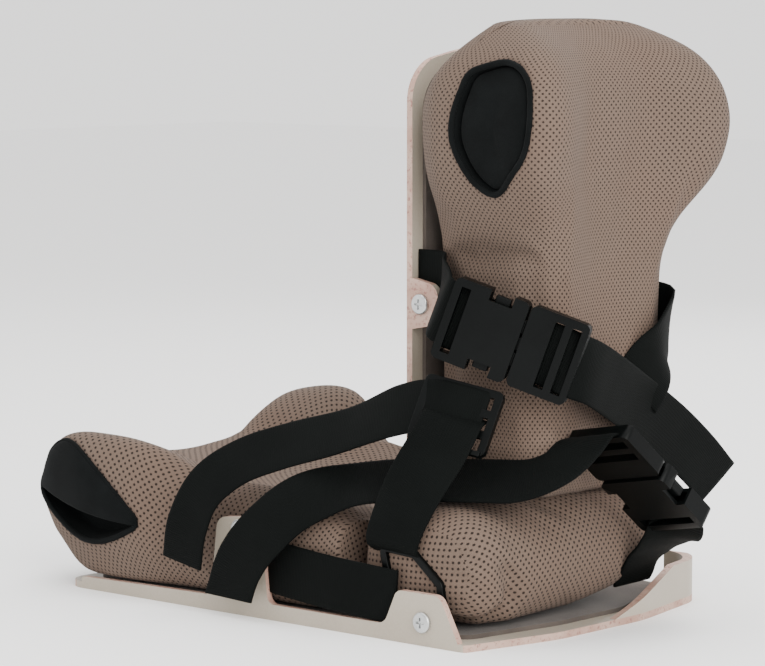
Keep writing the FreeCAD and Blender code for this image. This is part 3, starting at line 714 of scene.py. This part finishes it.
HEXAGON = [(0.29, 1.0), (0.72, 0.88), (0.97, 0.60), (1.0, 0.07), (0.86, -0.36), (0.49, -0.68), (-0.05, -1.0),
           (-0.58, -0.80), (-0.97, -0.28), (-1.0, 0.12), (-0.80, 0.55), (-0.62, 0.82), (-0.25, 0.93)]
ALMOND = [(-0.54, 0.97), (-0.30, 0.92), (-0.02, 0.70), (0.36, 0.30), (0.78, -0.18), (1.0, -0.50),
          (0.80, -0.72), (0.42, -0.94), (0.08, -1.0), (-0.22, -0.90), (-0.56, -0.62), (-0.86, -0.28),
          (-1.0, 0.0), (-0.93, 0.40), (-0.78, 0.78)]


def surface_y(tree, u, v, side):
    """Where a pad's side face is, straight in from outside."""
    start = at(u, -60 if side == NEAR else 310, v)
    hit = tree.ray_cast(start, Vector((0, -side, 0)))
    return hit[0].y if hit[0] is not None else tree.find_nearest(start)[0].y


def tree_of(thing):
    corners = [tuple(c) for c in coordinates(thing)]
    return BVHTree.FromPolygons(corners, [tuple(p.vertices) for p in thing.data.polygons])


def ring_tube(name, path, radius, material, flatten):
    """A closed tube along a path of points in metres, such as a sewn binding."""
    count, sides = len(path), 12
    tangent = np.roll(path, -1, axis=0) - np.roll(path, 1, axis=0)
    tangent /= np.linalg.norm(tangent, axis=1, keepdims=True)
    side = np.cross(tangent, np.array([0.0, 1.0, 0.0]))
    side /= np.linalg.norm(side, axis=1, keepdims=True)
    normal = np.cross(side, tangent)
    vertices, faces = [], []
    for i in range(count):
        stitch = 1 + 0.05 * math.sin(i * 2 * math.pi / 3)
        for j in range(sides):
            turn = 2 * math.pi * j / sides
            outward = math.cos(turn) * side[i] + flatten * math.sin(turn) * normal[i]
            vertices.append(path[i] + radius * stitch * outward)
    for i in range(count):
        here, ahead = i * sides, (i + 1) % count * sides
        for j in range(sides):
            k = (j + 1) % sides
            faces.append((here + j, here + k, ahead + k, ahead + j))
    thing = new_object(name, vertices, faces, material)
    turn_faces_outward(thing)
    return thing


def disc(name, path, depths, side, material, thickness=0.0016):
    """A sheet that fills an outline.

    depths(share) says how far in a point sits, for a share from 0 at the middle to 1 at the edge.
    """
    centre = path.mean(0)
    steps, count = 14, len(path)
    vertices, faces = [], []
    for step in range(steps + 1):
        share = 1 - step / steps
        for p in path if step < steps else path[:1]:
            q = centre + (p - centre) * share
            q[1] -= side * depths(share)
            vertices.append(q)
    for step in range(steps - 1):
        for j in range(count):
            k = (j + 1) % count
            faces.append((step * count + j, step * count + k, (step + 1) * count + k, (step + 1) * count + j))
    last, middle = (steps - 1) * count, steps * count
    for j in range(count):
        faces.append((last + j, last + (j + 1) % count, middle))
    thing = new_object(name, vertices, faces, material)
    thicken(thing, thickness)
    return thing


PAD_FACE_REACH = 0.026
DENT_EDGE = 0.10


def dent(pad, path, depth, side):
    """Presses the pad in inside a window's outline, so that the pocket is really hollow."""
    centre = path.mean(0)
    co = coordinates(pad)
    flat = co[:, [0, 2]] - centre[[0, 2]]
    rim = path[:, [0, 2]] - centre[[0, 2]]
    rim_angle = np.arctan2(rim[:, 1], rim[:, 0])
    order = np.argsort(rim_angle)
    angle = np.arctan2(flat[:, 1], flat[:, 0])
    reach = np.interp(angle, rim_angle[order], np.linalg.norm(rim, axis=1)[order], period=2 * math.pi)
    rim_y = np.interp(angle, rim_angle[order], path[order, 1], period=2 * math.pi)
    share = np.linalg.norm(flat, axis=1) / reach
    on_face = np.abs(co[:, 1] - centre[1]) < PAD_FACE_REACH
    inside = np.clip((1.0 - share) / DENT_EDGE, 0, 1)
    inside = inside * inside * (3 - 2 * inside) * on_face
    share = np.minimum(share, 1)
    floor_y = rim_y * share + centre[1] * (1 - share) - side * depth
    co[:, 1] += (floor_y - co[:, 1]) * inside
    set_coordinates(pad, co)


HOOD_THICKNESS = 0.0026
HOOD_BULGE = 0.0085


def hood(name, path, side):
    """A soft flap sewn along a window's upper edge: its free lip stands out from the face."""
    left, right = int(np.argmin(path[:, 0])), int(np.argmax(path[:, 0]))
    span = (right - left) % len(path)
    edge = spline([path[(left + i) % len(path)] for i in range(span + 1)], 44)
    rows = 20
    vertices, faces = [], []
    for i, top in enumerate(edge):
        s = i / (len(edge) - 1)
        lip = edge[0] * (1 - s) + edge[-1] * s
        lip[2] -= 0.003 * math.sin(math.pi * s)
        swell = math.sin(math.pi * s) ** 0.6
        for j in range(rows + 1):
            t = j / rows
            point = top * (1 - t) + lip * t
            lifted = math.sin(0.5 * math.pi * min(1, t * 1.25)) ** 0.8
            point[1] += side * (0.0006 + HOOD_BULGE * swell * lifted)
            point[2] += 0.0015 * math.sin(math.pi * t) * swell
            vertices.append(point)
    for i in range(len(edge) - 1):
        for j in range(rows):
            a, b = i * (rows + 1) + j, (i + 1) * (rows + 1) + j
            faces.append((a, a + 1, b + 1, b))
    thing = new_object(name, vertices, faces, KNIT)
    thicken(thing, HOOD_THICKNESS)
    return thing


BINDING_RADIUS, BINDING_FLATNESS = 0.0019, 0.8
PANEL_THICKNESS = 0.0026


def window(pad, label, centre, half, shape, side, pocket, hooded):
    """A lobe's window: hollow pocket, black liner, sewn binding, and a flap hinged in it."""
    tree = tree_of(pad)
    loop = outline(*centre, *half, shape)
    path = np.array([(at(u, 0, v).x, surface_y(tree, u, v, side), at(u, 0, v).z) for u, v in loop])
    path[:, 1] = blur_ring(path[:, 1], 6)
    dent(pad, path, pocket, side)
    binding_path = path + np.array([0, side * 0.0003, 0])
    binding = ring_tube(label + "_binding_tape", binding_path, BINDING_RADIUS, KNIT, BINDING_FLATNESS)
    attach(binding, "shell")
    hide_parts(label + "_binding")
    liner = disc(label + "_pocket_liner", path,
                 lambda share: (pocket - 0.003) * min(1, (1 - share) * 7) + 0.0006, side, KNIT)
    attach(liner, "shell")
    if hooded:
        flap = hood(label + "_flap_cloth", path, side)
    else:
        middle = path.mean(0)
        panel = middle + (path - middle) * np.array([0.84, 1, 0.93]) + np.array([0.0016, 0, 0])
        flap = disc(label + "_flap_cloth", panel,
                    lambda share: 0.0026 - 0.0034 * (1 - share ** 3), side, KNIT, PANEL_THICKNESS)
    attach(flap, label + "_flap")
    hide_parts(label + "_flap")


def blur_ring(values, passes):
    for _ in range(passes):
        values = (np.roll(values, 1) + 2 * values + np.roll(values, -1)) / 4
    return values


def finish_pad(pad, nodes):
    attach(pad, "shell")
    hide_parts(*nodes)


leg = leg_pad()
subdivide(leg)
for label, side in (("near_wing", NEAR), ("far_wing", FAR)):
    window(leg, label, (-327, 65), (49, 32), ALMOND, side, pocket=0.017, hooded=True)
finish_pad(leg, ["near_wing_cover", "near_wing_foam", "far_wing_cover", "far_wing_foam",
                 "leg_pad_cover", "leg_pad_foam"])

bolster = heel_bolster()
subdivide(bolster)
finish_pad(bolster, ["heel_bolster_cover", "heel_bolster_foam"])

upright = upright_pad()
subdivide(upright)
for label, side in (("near_lobe", NEAR), ("far_lobe", FAR)):
    window(upright, label, (-16, 311), (30, 40), HEXAGON, side, pocket=0.011, hooded=False)
finish_pad(upright, ["upright_pad_cover", "upright_pad_foam", "near_lobe_cover", "near_lobe_foam",
                     "far_lobe_cover", "far_lobe_foam"])


# ---------------------------------------------------------------- webbing
WEBBING_THICKNESS = 1.9
STRAP_STEP = 2.6
CUT_FADE = 14
CROWN, CROWN_LENGTH, CROWN_START = 0.35, 31, 0.6
ACROSS_STRAP = [-1, -0.985, -0.9, -0.62, -0.3, 0, 0.3, 0.62, 0.9, 0.985, 1]


def edge_share(c):
    """How thick the webbing is at c, from -1 to 1 across it, as a share: its edges are rounded off."""
    if abs(c) == 1:
        return 0.30
    return 0.8 if abs(c) > 0.95 else 1.0


def strap(name, stations, width, cut_start=0.0, cut_end=0.0):
    """Flat webbing through stations of (point, the way its width runs), in millimetres.

    cut_start and cut_end say how far the corners of a slanted end lie before or behind its middle.
    """
    table = np.array([(*point, *across) for point, across in stations], float)
    run = np.linalg.norm(np.diff(table[:, :3], axis=0), axis=1).sum()
    count = max(12, int(run / STRAP_STEP))
    samples = spline(table, count)
    places, across = samples[:, :3], samples[:, 3:]
    tangent = np.gradient(places, axis=0)
    tangent /= np.linalg.norm(tangent, axis=1, keepdims=True)
    across = across - tangent * np.sum(across * tangent, axis=1, keepdims=True)
    across /= np.linalg.norm(across, axis=1, keepdims=True)
    normal = np.cross(tangent, across)
    length = np.concatenate([[0], np.cumsum(np.linalg.norm(np.diff(places, axis=0), axis=1))])
    profile = [(c, 1) for c in ACROSS_STRAP] + [(c, -1) for c in ACROSS_STRAP[::-1]]
    vertices, faces, uvs = [], [], []
    for i in range(count):
        start, end = math.exp(-length[i] / CUT_FADE), math.exp(-(length[-1] - length[i]) / CUT_FADE)
        for c, face in profile:
            crown = CROWN * (1 - c * c) * math.sin(length[i] / CROWN_LENGTH + CROWN_START)
            slip = c * (cut_start * start - cut_end * end)
            lift = face * edge_share(c) * WEBBING_THICKNESS / 2 + crown
            vertices.append(places[i] + across[i] * (c * width / 2) + normal[i] * lift + tangent[i] * slip)
    sides = len(profile)
    u_of = [(c + 1) * width / 2 * MM for c, face in profile]
    v_of = [run_here * MM for run_here in length]
    for i in range(count - 1):
        for j in range(sides):
            k = (j + 1) % sides
            faces.append((i * sides + j, (i + 1) * sides + j, (i + 1) * sides + k, i * sides + k))
            uvs += [(u_of[j], v_of[i]), (u_of[j], v_of[i + 1]), (u_of[k], v_of[i + 1]), (u_of[k], v_of[i])]
    for first in (0, (count - 1) * sides):
        last = first + sides - 1
        for j in range(sides // 2 - 1):
            face = (first + j, first + j + 1, last - 1 - j, last - j)
            faces.append(face if first == 0 else face[::-1])
            uvs += [(u_of[j], 0)] * 4
    thing = new_object(name, points_at(vertices), faces, WEBBING, uvs)
    turn_faces_outward(thing)
    return thing


UP = (0, 0, 1)
LEAN = (0.29, 0.165, 0.942)
LADDER_LEAN = (0.93, 0.3, -0.2)
LOWER_LEAN = (0.98, -0.09, 0.17)
anchor = strap("upper_anchor_webbing", [
    ((-99, 73, 213), UP), ((-84, 73, 213), UP), ((-77, 71, 212), UP), ((-71, 63, 210), (0, 0.1, 1)),
    ((-62, 49, 206), LEAN), ((-53, 40, 201), LEAN), ((-44, 42, 196), LEAN), ((-36, 47, 192), LEAN)
], width=40)
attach(anchor, "shell")
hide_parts("upper_anchor_strap")

upper = strap("upper_webbing", [
    ((0, 67, 177), LEAN), ((12, 73, 172), LEAN), ((21, 80, 167), (0.1, 0.3, 0.9)),
    ((23, 94, 162), (0, 0.45, 0.9)), ((19, 118, 152), (0, 0.5, 0.85)),
    ((11, 160, 133), (0, 0.55, 0.82)), ((9, 196, 113), (0, 0.6, 0.8)), ((10, 222, 94), (0, 0.64, 0.75)),
    ((11, 240, 78), (0, 0.66, 0.7))
], width=40, cut_end=-6)
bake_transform(upper)
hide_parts("upper_strap")

wrap = strap("wrap_webbing", [
    ((-97, 197.9, 196), UP), ((-50, 199.5, 193), UP), ((-12, 200.5, 190), UP),
    ((1, 198.5, 186), (0, 0.05, 1)), ((7, 184, 172), (0, 0.45, 0.88)), ((6.5, 158, 142), (0, 0.6, 0.8))
], width=40)
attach(wrap, "shell")
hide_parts("wrap_strap")

wide = strap("adjuster_webbing", [
    ((-62, 14, 50), (0.97, 0.05, -0.1)), ((-62, 4.5, 58), (0.97, 0.05, -0.1)),
    ((-58, 8, 76), (0.96, 0.1, -0.15)), ((-50, 13, 96), (0.95, 0.2, -0.2)),
    ((-41, 21, 116), LADDER_LEAN), ((-38.2, 27, 127), LADDER_LEAN), ((-38, 33, 134.5), LADDER_LEAN),
    ((-40, 41, 136.5), LADDER_LEAN)
], width=40)
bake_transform(wide)
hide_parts("adjuster_strap")

tail = strap("adjuster_tail_webbing", [
    ((-22, 43, 135), (0.06, 0.42, 0.9)), ((-37, 37, 139), (0.06, 0.42, 0.9)),
    ((-55, 31, 141.5), (0.1, 0.38, 0.92)), ((-80, 29, 136.5), (0.1, 0.4, 0.9)),
    ((-120, 25, 121), (0, 0.6, 0.8)), ((-160, 15, 109), (-0.2, 0.55, 0.8)),
    ((-190, 4, 97), (-0.35, 0.45, 0.8)), ((-209, -8, 80), (-0.7, 0.2, 0.65)),
    ((-219, -14, 56), (-0.93, 0, 0.3)), ((-224, -14, 31), (-0.95, 0, 0.15))
], width=34)
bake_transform(tail)
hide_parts("adjuster_tail")

cross = strap("cross_webbing", [
    ((31, 96, 121), LOWER_LEAN), ((29, 86, 124), LOWER_LEAN), ((27, 74, 118), (0.97, -0.1, -0.05)),
    ((21, 61, 107), (0.84, -0.4, -0.3)), ((4, 50, 99), (0.42, -0.65, -0.5)),
    ((-22, 44, 97), (0.1, -0.8, -0.58)), ((-70, 34, 94), (0, -0.8, -0.58)),
    ((-106, 20, 89), (0.05, -0.75, -0.62)), ((-137, 3, 77), (0.25, -0.4, -0.88)),
    ((-159, -9, 56), (0.6, -0.12, -0.75)), ((-174, -13, 36), (0.85, 0, -0.48)),
    ((-184, -13, 13), (0.95, 0, -0.2))
], width=38, cut_end=7)
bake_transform(cross)
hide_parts("cross_strap")

corner = strap("corner_anchor_webbing", [
    ((44, 146, 71), LOWER_LEAN), ((45, 152, 66), LOWER_LEAN), ((37, 158, 58), (0.95, 0.1, 0.25)),
    ((25, 163, 50), (0.8, 0.35, 0.35)), ((12, 166, 41), (0.6, 0.5, 0.4)),
    ((2, 168, 31), (0.4, 0.7, 0.5)), ((-4, 169, 20), (0.3, 0.8, 0.5))
], width=34)
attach(corner, "shell")
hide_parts("corner_anchor_strap")

near_side = strap("near_side_webbing", [
    ((-164, 4, 34), UP), ((-150, 2, 33), UP), ((-110, 0, 30), UP), ((-80, 1, 28), UP),
    ((-58, 4, 26), UP)
], width=34)
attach(near_side, "shell")
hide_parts("near_side_strap")


# ---------------------------------------------------------------- the hard parts
EDGE_ANGLE = math.radians(35)


def soften(node, width):
    """Eased edges on a moulded part."""
    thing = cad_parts[node]
    weld = thing.modifiers.new("weld", "WELD")
    weld.merge_threshold = 0.00002
    bevel = thing.modifiers.new("eased", "BEVEL")
    bevel.width = width
    bevel.segments = 3
    bevel.limit_method = "ANGLE"
    bevel.angle_limit = EDGE_ANGLE
    bevel.harden_normals = False


def paint(node, material):
    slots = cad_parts[node].data.materials
    slots.clear()
    slots.append(material)


def paint_cut_edges(node, is_edge):
    """Gives the sheet's sawn edges the laminate's look."""
    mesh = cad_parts[node].data
    mesh.materials.append(EDGE)
    for face in mesh.polygons:
        if is_edge(face):
            face.material_index = 1


BASE_TOP, PLATE_FOOT_TOP = 0.0050, 0.014


def is_base_edge(face):
    tab_or_rim_top = face.normal.z > 0.3 and face.center.z > BASE_TOP
    end_face = abs(face.normal.z) < 0.3 and abs(face.normal.y) < 0.9
    return tab_or_rim_top or end_face


def is_plate_edge(face):
    above_foot = face.center.z > PLATE_FOOT_TOP
    return abs(face.normal.x) < 0.5 and above_foot and abs(face.normal.z) + abs(face.normal.y) > 0.5


def is_lip_edge(face):
    return face.normal.z > 0.3


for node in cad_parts:
    if "buckle" in node or node in ("ladder_lock", "tab_loop"):
        paint(node, PLASTIC)
        soften(node, 0.0009)
    elif node in ("tab_screws", "tab_washers", "foot_rivets", "loop_keeper"):
        paint(node, ZINC)
    elif node in ("base_shell", "upright_shell", "corner_lip"):
        paint(node, SHELL)
    elif "lining" in node or "spacer" in node:
        paint(node, LINING)
paint_cut_edges("base_shell", is_base_edge)
paint_cut_edges("upright_shell", is_plate_edge)
paint_cut_edges("corner_lip", is_lip_edge)
